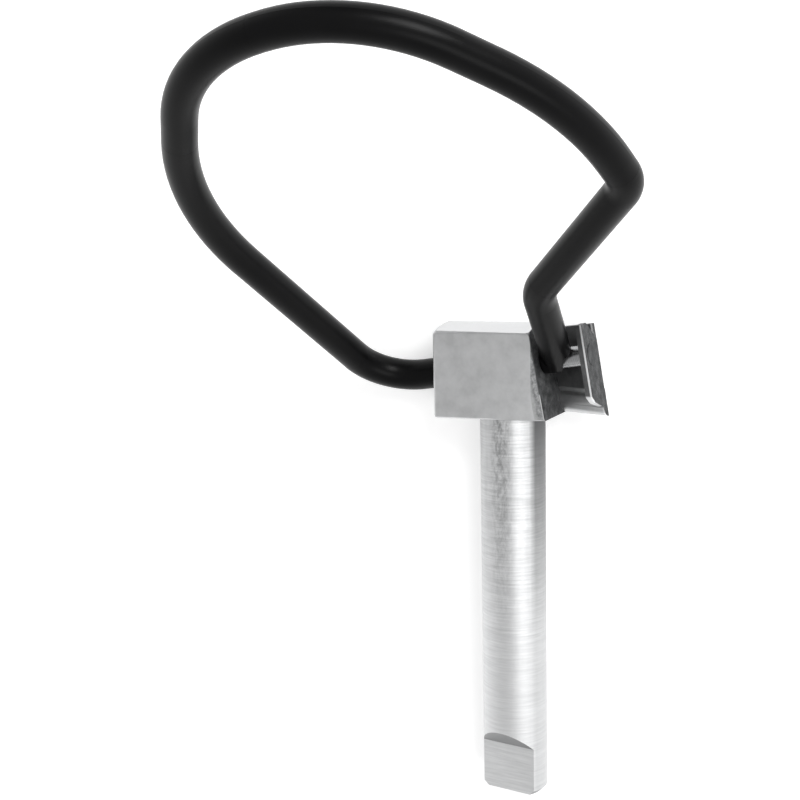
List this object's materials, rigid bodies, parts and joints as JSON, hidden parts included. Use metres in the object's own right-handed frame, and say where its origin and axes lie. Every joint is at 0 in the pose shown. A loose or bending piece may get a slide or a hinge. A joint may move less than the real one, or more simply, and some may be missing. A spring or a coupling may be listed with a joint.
{
  "type": "wire lock pin",
  "caption": "Round locking pin with a block head and a wire bail that swings on a slanted axis and closes round the tip.",
  "frame": {"origin": "on the shank's axis, in the plane of the head's underside", "axes": "+X runs down the shank to the tip, +Y points to the fork side, +Z points out of the head's front; the pin lies on its back on the plane under the head block, with the bail raised to the front as pictured"},
  "size_m": [0.1171, 0.0626, 0.0659],
  "materials": {
    "plated_steel": "bright zinc plate over turned and forged steel, rough dark cut faces at the fork",
    "ground_steel": "ground bright",
    "black_wire": "black satin coating"
  },
  "bodies": {
    "pin": {"pin_body": "plated_steel", "cross_pin": "ground_steel"},
    "bail": {"bail": "black_wire"}
  },
  "joints": [
    {"name": "bail_hinge", "type": "hinge", "parent": "pin", "child": "bail", "pos_m": [-0.0079, 0, 0.0008], "axis": [-0.1545, 0.9755, 0.1564], "range_deg": [-56, 125]}
  ]
}
